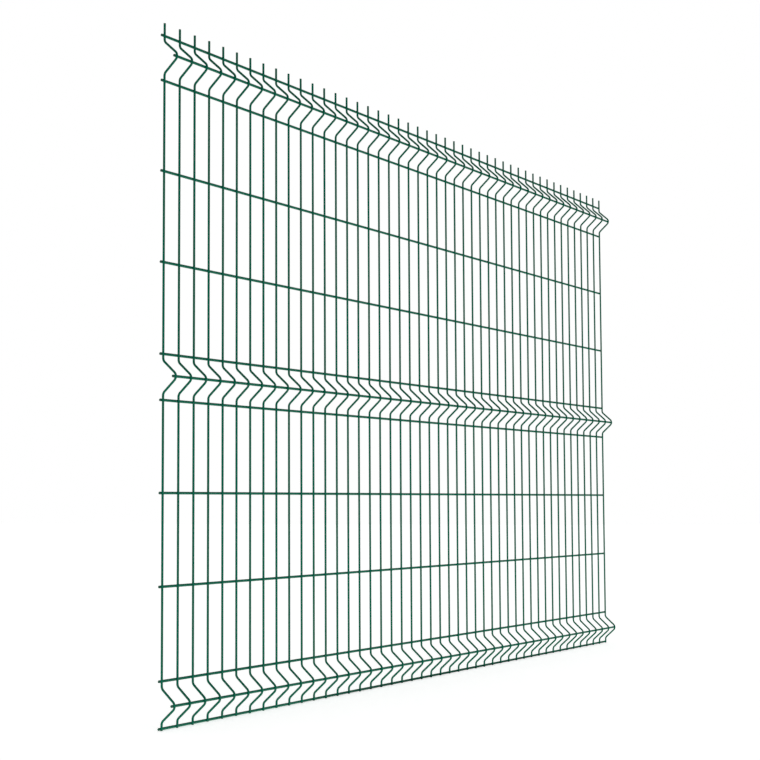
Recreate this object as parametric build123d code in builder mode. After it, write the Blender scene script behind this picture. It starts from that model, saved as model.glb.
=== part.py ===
"""Welded mesh fence panel, stiffened by V-shaped folds.

The panel is a lattice of steel wire. Upright wires stand side by side at one pitch, and
crosswires run behind them and are welded to each upright. Three folds press the lattice
forward into a V: one at the top, one at mid height and one at the bottom. Each fold has a
crosswire below it, one inside its nose and one above it. Between the folds lie flat
fields of tall meshes. The uprights end in bare barbs above the top crosswire.

Each wire is a square bar with the cross-section area of the real round wire, so the bars
touch on flats where they are welded, and the lattice weighs what the real one does. The
lattice is divided into bands, one for each fold and each field. A fold's band ends just
outside its outer crosswires, where the field's uprights carry on.

+Z is up, +X runs along the panel and the folds point to -Y. The origin is on the back of
the lowest crosswire, behind the first upright, in the plane that bears on the posts.
"""

import os
from math import pi, radians, sqrt, tan

from build123d import *

# Panel
panel_length = 2484.0

# Uprights
upright_pitch = 55.0
upright_diameter = 5.0
barb_length = 26.5
stub_length = 0.6

# Crosswires
crosswire_diameter = 6.0
field_meshes = 3
mesh_height = 200.0

# Folds
fold_height = 100.0
fold_depth = 34.0
fold_angle = 48.6
bend_radius = 12.0

# Bands, from the ground up
fold_names = ["bottom_fold", "middle_fold", "top_fold"]
field_names = ["lower_field", "upper_field"]


def bar_side(diameter):
    """Side of the square bar that has the cross-section area of a round wire."""
    return diameter * sqrt(pi) / 2


upright_side = bar_side(upright_diameter)
crosswire_side = bar_side(crosswire_diameter)

# Places across the panel's thickness, from the posts forward
crosswire_y = -crosswire_side / 2
upright_y = -crosswire_side - upright_side / 2

# As many uprights as the crosswires can carry, which pass the end ones by what is left
upright_count = int((panel_length - upright_side) / upright_pitch) + 1
row_length = (upright_count - 1) * upright_pitch
crosswire_overhang = (panel_length - row_length) / 2

# Heights of the folds, from the lowest crosswire up
fold_step = fold_height + field_meshes * mesh_height
fold_bases = [n * fold_step for n in range(len(fold_names))]
top_crosswire = fold_bases[-1] + fold_height

# How far a fold's band and the lowest ends of the uprights pass the crosswire's centre
end_length = crosswire_side / 2 + stub_length

# Half heights of a fold, at its nose and where it leaves the panel's plane
nose_half = bend_radius * tan(radians(fold_angle / 2))
root_half = nose_half + fold_depth / tan(radians(fold_angle))


def fold_bends(base):
    """Bends of an upright through the fold that stands on base, from below.

    The nose is a short flat that stands for the round bend, and carries the crosswire.
    """
    middle = base + fold_height / 2
    return [
        (upright_y, middle - root_half),
        (upright_y - fold_depth, middle - nose_half),
        (upright_y - fold_depth, middle + nose_half),
        (upright_y, middle + root_half),
    ]


def fold_crosswires(base):
    """Centres of the crosswires below, inside and above the fold that stands on base."""
    return [
        (crosswire_y, base),
        (crosswire_y - fold_depth, base + fold_height / 2),
        (crosswire_y, base + fold_height),
    ]


def field_crosswires(base):
    """Centres of the crosswires between the meshes of the field above a fold."""
    return [(crosswire_y, base + fold_height + n * mesh_height) for n in range(1, field_meshes)]


def build_band(node, low, high, bends, centres):
    """Build and export the band of lattice between the heights low and high.

    Each upright turns at bends, and each crosswire is centred on one of centres. Both
    are pairs of a place across the panel's thickness and a height.
    """
    with BuildPart() as upright:
        with BuildLine(Plane.YZ) as run:
            Polyline((upright_y, low), *bends, (upright_y, high))
        with BuildSketch(Plane.XY.offset(low)):
            with Locations((0, upright_y)):
                Rectangle(upright_side, upright_side)
        sweep(path=run.line, transition=Transition.RIGHT)

    with BuildPart() as band:
        with GridLocations(upright_pitch, 0, upright_count, 1, align=(Align.MIN, Align.CENTER)):
            add(upright.part)
        with BuildSketch(Plane.YZ.offset(-crosswire_overhang)):
            with Locations(*centres):
                Rectangle(crosswire_side, crosswire_side)
        extrude(amount=panel_length)

    band.part.label = node
    export_step(band.part, f"parts/{node}.step")


os.makedirs("parts", exist_ok=True)

for node, base in zip(fold_names, fold_bases):
    low = base - end_length
    if base == fold_bases[-1]:
        high = top_crosswire + barb_length
    else:
        high = base + fold_height + end_length
    build_band(node, low, high, fold_bends(base), fold_crosswires(base))

for node, base in zip(field_names, fold_bases):
    low = base + fold_height + end_length
    high = base + fold_step - end_length
    build_band(node, low, high, [], field_crosswires(base))
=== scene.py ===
"""Looks of the welded mesh fence panel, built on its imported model.

The uprights, the crosswires and the welds between them are round here, with the real bends,
and stand for the plain bars of the frame's model.
"""

import logging
import math
from dataclasses import dataclass, field
from enum import Enum

import bmesh
import bpy
from mathutils import Matrix, Vector


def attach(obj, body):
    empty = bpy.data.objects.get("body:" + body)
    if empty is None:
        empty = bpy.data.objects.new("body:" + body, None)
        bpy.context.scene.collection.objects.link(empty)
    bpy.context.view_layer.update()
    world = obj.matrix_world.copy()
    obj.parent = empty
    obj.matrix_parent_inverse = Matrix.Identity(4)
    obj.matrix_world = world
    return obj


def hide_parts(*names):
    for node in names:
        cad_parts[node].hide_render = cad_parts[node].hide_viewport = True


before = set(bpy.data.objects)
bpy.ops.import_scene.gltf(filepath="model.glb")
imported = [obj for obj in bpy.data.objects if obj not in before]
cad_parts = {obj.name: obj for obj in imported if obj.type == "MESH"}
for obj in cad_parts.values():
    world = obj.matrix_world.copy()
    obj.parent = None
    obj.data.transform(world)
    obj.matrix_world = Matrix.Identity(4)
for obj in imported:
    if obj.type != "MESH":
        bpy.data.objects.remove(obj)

MM = 0.001
BANDS = ("bottom_fold", "lower_field", "middle_fold", "upper_field", "top_fold")
CLEAN_WHITE = "#ffffff"

# Attributes on the points of a wire's centreline, as the class Stop gives them
GIRTH = "girth"
BARE = "bare"
BEND = "bend"

# Sockets of a Mix node that mixes colours. By name, they can't be told from its others
MIX_SHARE = 0
MIX_FIRST = 6
MIX_SECOND = 7
MIX_RESULT = 2

log = logging.getLogger("fence_panel")


class Seat(Enum):
    """Part of the uprights on which a crosswire is welded."""

    FLAT = "flat"
    NOSE = "nose"


def linear(code: str) -> tuple[float, float, float, float]:
    """Turn an sRGB hex colour to a linear one.

    Args:
        code: The colour, such as "#085b45".

    Returns:
        Linear red, green, blue and an alpha of 1.
    """
    levels = [int(code[start : start + 2], 16) / 255 for start in (1, 3, 5)]
    red, green, blue = (v / 12.92 if v <= 0.04045 else ((v + 0.055) / 1.055) ** 2.4 for v in levels)
    return red, green, blue, 1.0


def add_node(
    tree: bpy.types.NodeTree, kind: str, settings: dict | None = None, links: dict | None = None
) -> bpy.types.Node:
    """Add a node with its settings and links.

    Args:
        tree: The tree that gets the node.
        kind: The node's type name.
        settings: Values by the name of a property, or by the name or number of an input.
        links: Output sockets by the name or number of the input that each one feeds.

    Returns:
        The new node.
    """
    node = tree.nodes.new(kind)
    for key, value in (settings or {}).items():
        if isinstance(key, str) and hasattr(node, key):
            setattr(node, key, value)
        else:
            node.inputs[key].default_value = value
    for key, socket in (links or {}).items():
        tree.links.new(socket, node.inputs[key])
    return node


def seen_straight(tree: bpy.types.NodeTree) -> bpy.types.NodeSocket:
    """Tell rays that show a surface, such as the camera's or a reflection, from those that light one.

    Args:
        tree: The tree that gets the nodes.

    Returns:
        A socket that is 1 for a ray that shows what it meets, and else 0.
    """
    ray = add_node(tree, "ShaderNodeLightPath")
    mirrored = add_node(
        tree,
        "ShaderNodeMath",
        {"operation": "MAXIMUM"},
        {0: ray.outputs["Is Glossy Ray"], 1: ray.outputs["Is Transmission Ray"]},
    )
    seen = add_node(
        tree,
        "ShaderNodeMath",
        {"operation": "MAXIMUM"},
        {0: ray.outputs["Is Camera Ray"], 1: mirrored.outputs[0]},
    )
    return seen.outputs[0]


@dataclass(frozen=True)
class PanelSizes:
    """Sizes of the panel, in metres, with the back of the flat crosswires at y = 0.

    The wires are 5 mm and 6 mm thick under a coat of 0.1 mm, which their diameters include. The
    depth and half height of a fold are those of its sharp corners, which the bends round.
    """

    uprights: int = 46
    pitch: float = 55 * MM
    upright_diameter: float = 5.2 * MM
    barb_top: float = 1526.5 * MM
    stub_bottom: float = -3.2 * MM
    crosswire_diameter: float = 6.2 * MM
    overhang: float = 4.5 * MM
    fold_bases: tuple[float, ...] = (0.0, 700 * MM, 1400 * MM)
    fold_height: float = 100 * MM
    field_mesh: float = 200 * MM
    field_crosswires: int = 2
    fold_depth: float = 40 * MM
    fold_half: float = 35.3 * MM
    bend_radius: float = 12 * MM
    set_in: float = 0.8 * MM

    @property
    def crosswire_y(self) -> float:
        """Place of the flat crosswires' axes across the panel."""
        return -self.crosswire_diameter / 2

    @property
    def upright_y(self) -> float:
        """Place of the uprights' axes across the panel."""
        reach = (self.crosswire_diameter + self.upright_diameter) / 2
        return self.crosswire_y - reach + self.set_in

    @property
    def nose_depth(self) -> float:
        """How far the round bend brings an upright's axis forward at a nose."""
        slant = math.atan2(self.fold_depth, self.fold_half)
        return self.fold_depth - self.bend_radius * (1 / math.cos(slant) - 1)

    def crosswire_places(self) -> list[tuple[Seat, float, float]]:
        """List the crosswires, those of the folds first.

        Returns:
            The seat, the place across the panel and the height of each one's axis.
        """
        places = []
        for base in self.fold_bases:
            nose = base + self.fold_height / 2
            places.append((Seat.FLAT, self.crosswire_y, base))
            places.append((Seat.NOSE, self.crosswire_y - self.nose_depth, nose))
            places.append((Seat.FLAT, self.crosswire_y, base + self.fold_height))
        for base in self.fold_bases[:-1]:
            for step in range(1, self.field_crosswires + 1):
                height = base + self.fold_height + step * self.field_mesh
                places.append((Seat.FLAT, self.crosswire_y, height))
        return places


@dataclass(frozen=True)
class PowderCoat:
    """Moss green polyester powder coat, sprayed on galvanised wire and baked.

    It is even, but thin on the sheared ends. Its gloss is drawn low, because the photograph
    shows no highlight on any wire.
    """

    # The eye gets a deep green with a faint sheen along each wire, and a duller, greyer tone
    # on the sheared ends
    name: str = "moss_green_polyester_powder_coat"
    colour: str = "#085b45"
    thick_colour: str = "#06523e"
    thin_colour: str = "#2a5143"
    roughness: float = 0.4
    ior: float = 1.5
    gloss: float = 0.03
    drift: float = 80 * MM

    # Real orange peel has waves of this length, but it is only a few thousandths of a
    # millimetre deep. Real powder is about ten times finer than this grain. The one is drawn
    # deeper and the other coarser, so that they show
    peel: float = 1.6 * MM
    peel_depth: float = 0.035 * MM
    grain: float = 0.4 * MM
    grain_depth: float = 0.008 * MM

    def material(self) -> bpy.types.Material:
        """Build the coat's material.

        Returns:
            The material, on Object coordinates and the wires' bareness.
        """
        material = bpy.data.materials.new(self.name)
        material.use_nodes = True
        tree = material.node_tree
        tree.nodes.clear()
        place = add_node(tree, "ShaderNodeTexCoord").outputs["Object"]

        # The coat's thickness drifts along the wires, which shifts its tone a little
        drift = add_node(
            tree, "ShaderNodeTexNoise", {"Scale": 1 / self.drift, "Detail": 2.0}, {"Vector": place}
        )
        tone = add_node(
            tree,
            "ShaderNodeMix",
            {"data_type": "RGBA", MIX_FIRST: linear(self.colour), MIX_SECOND: linear(self.thick_colour)},
            {MIX_SHARE: drift.outputs[0]},
        )
        bare = add_node(tree, "ShaderNodeAttribute", {"attribute_name": BARE})
        colour = add_node(
            tree,
            "ShaderNodeMix",
            {"data_type": "RGBA", MIX_SECOND: linear(self.thin_colour)},
            {MIX_SHARE: bare.outputs["Fac"], MIX_FIRST: tone.outputs[MIX_RESULT]},
        )

        # Orange peel, with the finer grain of the powder on it
        peel = add_node(
            tree, "ShaderNodeTexNoise", {"Scale": 1 / self.peel, "Detail": 1.0}, {"Vector": place}
        )
        grain = add_node(
            tree, "ShaderNodeTexNoise", {"Scale": 1 / self.grain, "Detail": 2.0}, {"Vector": place}
        )
        waves = add_node(
            tree, "ShaderNodeBump", {"Distance": self.peel_depth}, {"Height": peel.outputs[0]}
        )
        relief = add_node(
            tree,
            "ShaderNodeBump",
            {"Distance": self.grain_depth},
            {"Height": grain.outputs[0], "Normal": waves.outputs[0]},
        )
        shader = add_node(
            tree,
            "ShaderNodeBsdfPrincipled",
            {"Roughness": self.roughness, "IOR": self.ior, "Specular IOR Level": self.gloss},
            {"Base Color": colour.outputs[MIX_RESULT], "Normal": relief.outputs[0]},
        )
        add_node(tree, "ShaderNodeOutputMaterial", links={"Surface": shader.outputs[0]})
        return material


@dataclass(frozen=True)
class StudioWhite:
    """Matt white floor paint, rolled on.

    The sky lights the paint to 0.39 of full white, and the lift adds the rest. Only rays that
    show the floor get the lift, so it throws no light on the panel.
    """

    # The eye gets a clean white ground with the panel's soft shadow on it
    name: str = "matt_white_floor_paint"
    colour: str = "#e4e4e4"
    roughness: float = 0.9
    lift: float = 0.612

    def material(self) -> bpy.types.Material:
        """Build the floor's material.

        Returns:
            The material.
        """
        material = bpy.data.materials.new(self.name)
        material.use_nodes = True
        tree = material.node_tree
        tree.nodes.clear()
        seen = add_node(
            tree, "ShaderNodeMath", {"operation": "MULTIPLY", 1: self.lift}, {0: seen_straight(tree)}
        )
        shader = add_node(
            tree,
            "ShaderNodeBsdfPrincipled",
            {
                "Base Color": linear(self.colour),
                "Roughness": self.roughness,
                "Emission Color": linear(CLEAN_WHITE),
            },
            {"Emission Strength": seen.outputs[0]},
        )
        add_node(tree, "ShaderNodeOutputMaterial", links={"Surface": shader.outputs[0]})
        return material


@dataclass
class Jig:
    """A geometry tree that sets copies of one shape on stations, as a welding jig holds wires.

    The shape is the modified object's own mesh. Where it is a wire's centreline, the tree
    rounds its corners and sweeps the wire along it first. Each input has a name, a type of
    socket and a value.
    """

    name: str
    inputs: dict[str, tuple[str, object]]
    tree: bpy.types.NodeTree = field(init=False)
    entry: bpy.types.Node = field(init=False)

    def __post_init__(self) -> None:
        """Start the tree with its named inputs."""
        self.tree = bpy.data.node_groups.new(self.name, "GeometryNodeTree")
        face = self.tree.interface
        face.new_socket("Shape", in_out="INPUT", socket_type="NodeSocketGeometry")
        for label, (kind, _) in self.inputs.items():
            face.new_socket(label, in_out="INPUT", socket_type=kind)
        face.new_socket("Result", in_out="OUTPUT", socket_type="NodeSocketGeometry")
        self.entry = add_node(self.tree, "NodeGroupInput")

    def sweep(self, path: bpy.types.NodeSocket) -> bpy.types.NodeSocket:
        """Round the corners of a centreline and sweep the wire along it.

        Args:
            path: The centreline, as a mesh of edges.

        Returns:
            The wire's closed mesh.
        """
        given = self.entry.outputs
        curve = add_node(self.tree, "GeometryNodeMeshToCurve", links={"Mesh": path})
        corner = add_node(self.tree, "GeometryNodeInputNamedAttribute", {"Name": BEND})
        radius = add_node(
            self.tree,
            "ShaderNodeMath",
            {"operation": "MULTIPLY"},
            {0: corner.outputs[0], 1: given["Bend radius"]},
        )
        steps = add_node(
            self.tree,
            "ShaderNodeMapRange",
            {"To Min": 1.0},
            {"Value": corner.outputs[0], "To Max": given["Bend steps"]},
        )
        bent = add_node(
            self.tree,
            "GeometryNodeFilletCurve",
            {"mode": "POLY"},
            {"Curve": curve.outputs[0], "Count": steps.outputs[0], "Radius": radius.outputs[0]},
        )
        ring = add_node(
            self.tree,
            "GeometryNodeCurvePrimitiveCircle",
            links={"Resolution": given["Sides"], "Radius": given["Wire radius"]},
        )
        girth = add_node(self.tree, "GeometryNodeInputNamedAttribute", {"Name": GIRTH})
        wire = add_node(
            self.tree,
            "GeometryNodeCurveToMesh",
            {"Fill Caps": True},
            {"Curve": bent.outputs[0], "Profile Curve": ring.outputs[0], "Scale": girth.outputs[0]},
        )
        return wire.outputs[0]

    def hold(self, shape: bpy.types.NodeSocket) -> None:
        """Set copies of a shape on the stations, each a little off its place, and end the tree.

        Args:
            shape: The mesh that is repeated.
        """
        given = self.entry.outputs
        spots = add_node(self.tree, "GeometryNodeObjectInfo", links={"Object": given["Stations"]})
        copies = add_node(
            self.tree,
            "GeometryNodeInstanceOnPoints",
            links={"Points": spots.outputs["Geometry"], "Instance": shape},
        )
        least = add_node(
            self.tree, "ShaderNodeVectorMath", {"operation": "SCALE", "Scale": -1.0}, {0: given["Slack"]}
        )
        shift = add_node(
            self.tree,
            "FunctionNodeRandomValue",
            {"data_type": "FLOAT_VECTOR"},
            {0: least.outputs[0], 1: given["Slack"], "Seed": given["Seed"]},
        )
        placed = add_node(
            self.tree,
            "GeometryNodeTranslateInstances",
            links={"Instances": copies.outputs[0], "Translation": shift.outputs[0]},
        )
        solid = add_node(self.tree, "GeometryNodeRealizeInstances", links={"Geometry": placed.outputs[0]})
        dressed = add_node(
            self.tree,
            "GeometryNodeSetMaterial",
            links={"Geometry": solid.outputs[0], "Material": given["Finish"]},
        )
        add_node(self.tree, "NodeGroupOutput", links={0: dressed.outputs[0]})

    def run(self, piece: bpy.types.Object) -> None:
        """Run the tree on a piece and keep the result as its plain mesh.

        Args:
            piece: The object that holds the repeated shape.
        """
        modifier = piece.modifiers.new(self.name, "NODES")
        modifier.node_group = self.tree
        for item in self.tree.interface.items_tree:
            if item.in_out == "INPUT" and item.name in self.inputs:
                _, value = self.inputs[item.name]
                modifier[item.identifier] = value
        graph = bpy.context.evaluated_depsgraph_get()
        result = bpy.data.meshes.new_from_object(piece.evaluated_get(graph))
        piece.modifiers.clear()
        piece.data = result


def new_object(name: str, data: bpy.types.ID) -> bpy.types.Object:
    """Link a mesh, a lamp or a camera into the scene as an object at the origin.

    Args:
        name: The object's name.
        data: What the object holds.

    Returns:
        The new object.
    """
    made = bpy.data.objects.new(name, data)
    bpy.context.scene.collection.objects.link(made)
    return made


def scatter(name: str, places: list[tuple[float, float, float]]) -> bpy.types.Object:
    """Make a mesh of loose points, on which a jig sets its copies.

    Args:
        name: The object's name.
        places: The points.

    Returns:
        The object.
    """
    mesh = bpy.data.meshes.new(name)
    mesh.from_pydata(places, [], [])
    return new_object(name, mesh)


@dataclass(frozen=True)
class Stop:
    """A point of a wire's centreline.

    The girth is a share of the wire's own, the coat is whole at a bareness of 0, and the
    centreline is rounded at a bend of 1.
    """

    place: Vector
    girth: float = 1.0
    bare: float = 0.0
    bend: float = 0.0


def centreline(name: str, stops: list[Stop]) -> bpy.types.Object:
    """Make a wire's centreline as a mesh of edges.

    Args:
        name: The object's name.
        stops: The centreline's points, from one end to the other.

    Returns:
        The object, whose points carry the girth, the bareness and the bend as attributes.
    """
    mesh = bpy.data.meshes.new(name)
    mesh.from_pydata([stop.place for stop in stops], [(n, n + 1) for n in range(len(stops) - 1)], [])
    for label in (GIRTH, BARE, BEND):
        layer = mesh.attributes.new(label, "FLOAT", "POINT")
        layer.data.foreach_set("value", [getattr(stop, label) for stop in stops])
    return new_object(name, mesh)


def finish_piece(piece: bpy.types.Object) -> None:
    """Hand a piece to the frame, in place of the panel's plain bars.

    Args:
        piece: The piece, whose skin is of four-cornered faces and whose flat caps are not.
    """
    for polygon in piece.data.polygons:
        polygon.use_smooth = len(polygon.vertices) == 4
    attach(piece, "root")
    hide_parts(*BANDS)
    log.info("%s: %d faces", piece.name, len(piece.data.polygons))


@dataclass
class CutEnd:
    """A sheared wire end: flat, slightly slanted, with a rim that the coat rounds.

    The rim is a quarter round, drawn at the given angles from the end's face inwards. The end is
    bare on its face, a little less so past the rim, and coated again at the bare length.
    """

    radius: float
    rim: float = 0.55 * MM
    rim_angles: tuple[int, ...] = (0, 30, 60, 90)
    rim_cover: float = 0.15
    slant: float = math.radians(5)
    bare_length: float = 3 * MM

    def stops(self, tip: Vector, inward: Vector, aside: Vector) -> list[Stop]:
        """List the centreline's points from the tip inwards.

        Args:
            tip: The middle of the end's face.
            inward: Unit vector from the tip into the wire.
            aside: Unit vector across the wire, to which the face leans.

        Returns:
            The points, from the tip to where the coat is whole.
        """
        made = []
        for angle in self.rim_angles:
            depth = self.rim * (1 - math.cos(math.radians(angle)))
            inset = self.rim * (1 - math.sin(math.radians(angle)))
            lean = aside * (math.tan(self.slant) * max(0.0, self.rim / 2 - depth))
            bare = 1 - self.rim_cover * angle / self.rim_angles[-1]
            made.append(Stop(tip + inward * depth + lean, 1 - inset / self.radius, bare))
        made.append(Stop(tip + inward * self.bare_length))
        return made


@dataclass
class Wires:
    """The wires of one kind: their shape, and the stations at which they stand."""

    sizes: PanelSizes
    finish: bpy.types.Material
    sides: int = 14
    bend_steps: int = 8
    seed: int = 7

    def lay(
        self,
        name: str,
        stops: list[Stop],
        stations: list[tuple[float, float, float]],
        diameter: float,
        slack: Vector,
    ) -> bpy.types.Object:
        """Sweep a wire along its centreline and set it on its stations.

        Args:
            name: The piece's name.
            stops: The centreline's points.
            stations: Where the wires stand.
            diameter: The wire's diameter.
            slack: The most that a wire is off its place, along each axis.

        Returns:
            The finished piece.
        """
        piece = centreline(name, stops)
        spots = scatter(name + "_stations", stations)
        jig = Jig(
            name + "_jig",
            {
                "Stations": ("NodeSocketObject", spots),
                "Wire radius": ("NodeSocketFloat", diameter / 2),
                "Bend radius": ("NodeSocketFloat", self.sizes.bend_radius),
                "Bend steps": ("NodeSocketInt", self.bend_steps),
                "Sides": ("NodeSocketInt", self.sides),
                "Slack": ("NodeSocketVector", slack),
                "Seed": ("NodeSocketInt", self.seed),
                "Finish": ("NodeSocketMaterial", self.finish),
            },
        )
        jig.hold(jig.sweep(jig.entry.outputs["Shape"]))
        jig.run(piece)
        bpy.data.objects.remove(spots)
        finish_piece(piece)
        return piece


@dataclass
class Uprights(Wires):
    """The upright wires, which the folds press forward."""

    slack: tuple[float, float, float] = (0.25 * MM, 0.0, 0.4 * MM)

    def stops(self) -> list[Stop]:
        """Draw the centreline of an upright, with the sharp corners of its folds.

        Returns:
            Its points, from the ground up.
        """
        size = self.sizes
        end = CutEnd(size.upright_diameter / 2)
        up, front = Vector((0, 0, 1)), Vector((0, -1, 0))
        made = end.stops(up * size.stub_bottom, up, front)
        for base in size.fold_bases:
            middle = up * (base + size.fold_height / 2)
            made.append(Stop(middle - up * size.fold_half, bend=1.0))
            made.append(Stop(middle + front * size.fold_depth, bend=1.0))
            made.append(Stop(middle + up * size.fold_half, bend=1.0))
        made += reversed(end.stops(up * size.barb_top, -up, front))
        return made

    def build(self) -> bpy.types.Object:
        """Build the uprights.

        Returns:
            The finished piece.
        """
        size = self.sizes
        stations = [(n * size.pitch, size.upright_y, 0.0) for n in range(size.uprights)]
        return self.lay("uprights", self.stops(), stations, size.upright_diameter, Vector(self.slack))


@dataclass
class Crosswires(Wires):
    """The crosswires, which lie straight behind the uprights and inside the noses."""

    slack: tuple[float, float, float] = (0.4 * MM, 0.0, 0.0)

    def stops(self) -> list[Stop]:
        """Draw the centreline of a crosswire.

        Returns:
            Its points, from the first upright to the last.
        """
        size = self.sizes
        end = CutEnd(size.crosswire_diameter / 2)
        along, up = Vector((1, 0, 0)), Vector((0, 0, 1))
        row = (size.uprights - 1) * size.pitch
        made = end.stops(along * -size.overhang, along, up)
        made += reversed(end.stops(along * (row + size.overhang), -along, up))
        return made

    def build(self) -> bpy.types.Object:
        """Build the crosswires.

        Returns:
            The finished piece.
        """
        size = self.sizes
        stations = [(0.0, y, z) for _, y, z in size.crosswire_places()]
        return self.lay("crosswires", self.stops(), stations, size.crosswire_diameter, Vector(self.slack))


@dataclass
class WeldCollars:
    """The resistance welds, each a collar of squeezed metal with the coat pooled over it.

    A collar reaches out to where the gap between the two wires is as wide as its fill. It sinks
    a little into both wires, and its skin is hollow between them. The levels at which the skin
    is drawn run from 0 on the upright to 1 on the crosswire.
    """

    sizes: PanelSizes
    finish: bpy.types.Material
    fill: float = 1.3 * MM
    sink: float = 0.15 * MM
    hollow: float = 0.45
    levels: tuple[float, ...] = (0.0, 0.3, 0.7, 1.0)
    steps: int = 16
    widest: float = 1.25
    halvings: int = 30
    slack: tuple[float, float, float] = (0.1 * MM, 0.0, 0.1 * MM)
    seed: int = 23

    def upright_side(self, seat: Seat, x: float, z: float) -> float:
        """Find the upright's back surface.

        Args:
            seat: Part of the upright on which the crosswire is welded.
            x: Place along the crosswire, from the weld's middle.
            z: Height above the weld's middle.

        Returns:
            The surface's place across the panel, from the weld's middle.
        """
        size = self.sizes
        radius = size.upright_diameter / 2
        place = size.set_in / 2 - (radius - math.sqrt(max(0.0, radius**2 - x**2)))
        if seat is Seat.NOSE:
            inner = size.bend_radius - radius
            place += inner - math.sqrt(inner**2 - z**2)
        return place

    def crosswire_side(self, z: float) -> float:
        """Place of the crosswire's front surface across the panel, from the weld's middle."""
        radius = self.sizes.crosswire_diameter / 2
        return (radius - math.sqrt(max(0.0, radius**2 - z**2))) - self.sizes.set_in / 2

    def reach(self, seat: Seat, turn: float) -> float:
        """Find, by halving, how far from the weld's middle the gap is as wide as the fill.

        Args:
            seat: Part of the upright on which the crosswire is welded.
            turn: Direction in the panel's plane, from the crosswire's axis, in radians.

        Returns:
            The distance, at most the upright's radius times widest.
        """
        low, high = 0.0, self.sizes.upright_diameter / 2 * self.widest
        for _ in range(self.halvings):
            middle = (low + high) / 2
            x, z = middle * math.cos(turn), middle * math.sin(turn)
            gap = self.crosswire_side(z) - self.upright_side(seat, x, z)
            low, high = (middle, high) if gap < self.fill else (low, middle)
        return low

    def collar(self, name: str, seat: Seat) -> bpy.types.Object:
        """Build one collar, a closed ring of concave skin between the two wires.

        Args:
            name: The object's name.
            seat: Part of the upright on which the crosswire is welded.

        Returns:
            The collar, with its weld's middle at the origin.
        """
        shape = bmesh.new()
        rows: list[list[bmesh.types.BMVert]] = []
        for level in self.levels:
            row = []
            for step in range(self.steps):
                turn = math.tau * step / self.steps
                reach = self.reach(seat, turn)
                waist = 1 - self.hollow * self.fill / reach * math.sin(math.pi * level)
                x, z = reach * waist * math.cos(turn), reach * waist * math.sin(turn)
                front = self.upright_side(seat, reach * math.cos(turn), reach * math.sin(turn)) - self.sink
                back = self.crosswire_side(reach * math.sin(turn)) + self.sink
                row.append(shape.verts.new((x, front + (back - front) * level, z)))
            rows.append(row)
        for lower, upper in zip(rows, rows[1:]):
            for step in range(self.steps):
                after = (step + 1) % self.steps
                shape.faces.new((lower[step], lower[after], upper[after], upper[step]))
        shape.faces.new(rows[0])
        shape.faces.new(rows[-1])
        bmesh.ops.recalc_face_normals(shape, faces=shape.faces)
        mesh = bpy.data.meshes.new(name)
        shape.to_mesh(mesh)
        shape.free()
        return new_object(name, mesh)

    def stations(self, seat: Seat) -> list[tuple[float, float, float]]:
        """List the middles of the welds on one kind of seat.

        Args:
            seat: Part of the uprights on which the crosswires are welded.

        Returns:
            The places, crosswire by crosswire.
        """
        size = self.sizes
        front = -size.crosswire_diameter / 2 + size.set_in / 2
        return [
            (n * size.pitch, y + front, z)
            for kind, y, z in size.crosswire_places()
            if kind is seat
            for n in range(size.uprights)
        ]

    def build(self, seat: Seat) -> bpy.types.Object:
        """Build the collars on one kind of seat.

        Args:
            seat: Part of the uprights on which the crosswires are welded.

        Returns:
            The finished piece.
        """
        name = seat.value + "_weld_collars"
        piece = self.collar(name, seat)
        spots = scatter(name + "_stations", self.stations(seat))
        jig = Jig(
            name + "_jig",
            {
                "Stations": ("NodeSocketObject", spots),
                "Slack": ("NodeSocketVector", Vector(self.slack)),
                "Seed": ("NodeSocketInt", self.seed),
                "Finish": ("NodeSocketMaterial", self.finish),
            },
        )
        jig.hold(jig.entry.outputs["Shape"])
        jig.run(piece)
        bpy.data.objects.remove(spots)
        finish_piece(piece)
        return piece


@dataclass(frozen=True)
class LightTable:
    """A wide light table just above the floor, which the camera doesn't see.

    It gives most of the light, so that the undersides of the folds are brighter than the tops.
    Its middle is given along the panel from the first upright, and its length runs that way.
    """

    name: str = "light_table"
    middle: float = 0.25
    length: float = 6.5
    width: float = 7.0
    clearance: float = 0.3 * MM
    power: float = 205.0

    def lay(self, floor_height: float) -> None:
        """Lay the table under the panel, facing up.

        Args:
            floor_height: Height of the floor that it lies above.
        """
        lamp = bpy.data.lights.new(self.name, "AREA")
        lamp.shape = "RECTANGLE"
        lamp.size = self.length
        lamp.size_y = self.width
        lamp.energy = self.power
        made = new_object(self.name, lamp)
        made.location = (self.middle, 0.0, floor_height + self.clearance)
        made.rotation_euler = (0.0, math.pi, 0.0)
        made.visible_camera = False


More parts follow.
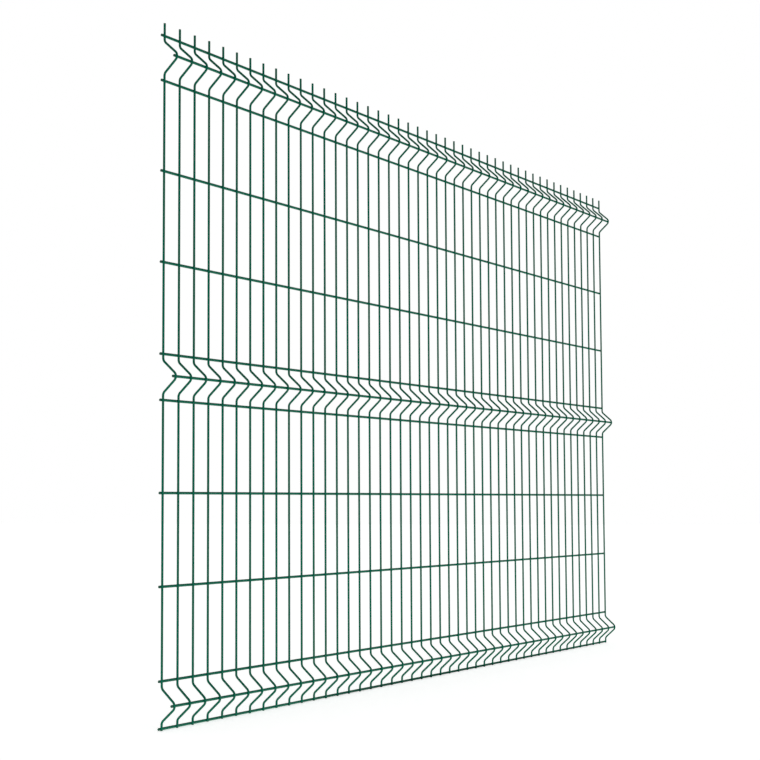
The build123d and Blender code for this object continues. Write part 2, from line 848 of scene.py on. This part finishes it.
@dataclass
class Studio:
    """The floor, the soft light and the camera at the photograph's angle.

    The sky lights the panel evenly from all round, and the light table does so from below. The
    camera's values are those of the perspective that fits the photograph, for a square image of
    the given number of pixels. Its angles are in degrees, and its yaw is from +Y towards +X.
    """

    floor_height: float = -4 * MM
    floor_size: float = 60.0
    sky: float = 0.5
    table: LightTable = LightTable()
    image: int = 760
    focal_pixels: float = 1639.7
    sensor_width: float = 36.0
    camera_place: tuple[float, float, float] = (-2.8185, -2.1698, 0.4745)
    yaw: float = 60.067
    pitch: float = 4.316
    roll: float = -0.313

    def floor(self, finish: bpy.types.Material) -> bpy.types.Object:
        """Build the floor.

        Args:
            finish: The floor's material.

        Returns:
            The floor.
        """
        half = self.floor_size / 2
        mesh = bpy.data.meshes.new("studio_floor")
        corners = [(x * half, y * half, self.floor_height) for x, y in ((-1, -1), (1, -1), (1, 1), (-1, 1))]
        mesh.from_pydata(corners, [], [(0, 1, 2, 3)])
        made = new_object("studio_floor", mesh)
        mesh.materials.append(finish)
        return made

    def world(self) -> None:
        """Light the studio evenly from all round, with a background that the camera sees white."""
        world = bpy.data.worlds.new("studio")
        bpy.context.scene.world = world
        world.use_nodes = True
        tree = world.node_tree
        tree.nodes.clear()
        level = add_node(
            tree, "ShaderNodeMapRange", {"To Min": self.sky, "To Max": 1.0}, {"Value": seen_straight(tree)}
        )
        sky = add_node(
            tree, "ShaderNodeBackground", {"Color": linear(CLEAN_WHITE)}, {"Strength": level.outputs[0]}
        )
        add_node(tree, "ShaderNodeOutputWorld", links={"Surface": sky.outputs[0]})

    def camera(self) -> None:
        """Place the camera as the photograph's perspective has it."""
        yaw, pitch, roll = (math.radians(angle) for angle in (self.yaw, self.pitch, self.roll))
        ahead = Vector((math.sin(yaw) * math.cos(pitch), math.cos(yaw) * math.cos(pitch), math.sin(pitch)))
        right = Vector((math.cos(yaw), -math.sin(yaw), 0))
        up = right.cross(ahead)
        turned = math.cos(roll) * right + math.sin(roll) * up
        upward = math.cos(roll) * up - math.sin(roll) * right
        lens = bpy.data.cameras.new("camera")
        lens.sensor_width = self.sensor_width
        lens.lens = self.focal_pixels / self.image * self.sensor_width
        made = new_object("camera", lens)
        axes = Matrix((turned, upward, -ahead)).transposed()
        made.matrix_world = Matrix.Translation(self.camera_place) @ axes.to_4x4()
        bpy.context.scene.camera = made


def main() -> None:
    """Build the panel's pieces in order, and the studio round them."""
    logging.basicConfig(level=logging.INFO, format="%(name)s: %(message)s")
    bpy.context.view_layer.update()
    bpy.context.scene.view_settings.view_transform = "Standard"

    sizes = PanelSizes()
    coat = PowderCoat().material()
    Uprights(sizes, coat).build()
    Crosswires(sizes, coat).build()
    for seat in Seat:
        WeldCollars(sizes, coat).build(seat)

    studio = Studio()
    studio.floor(StudioWhite().material())
    studio.world()
    studio.table.lay(studio.floor_height)
    studio.camera()


if __name__ == "__main__":
    main()
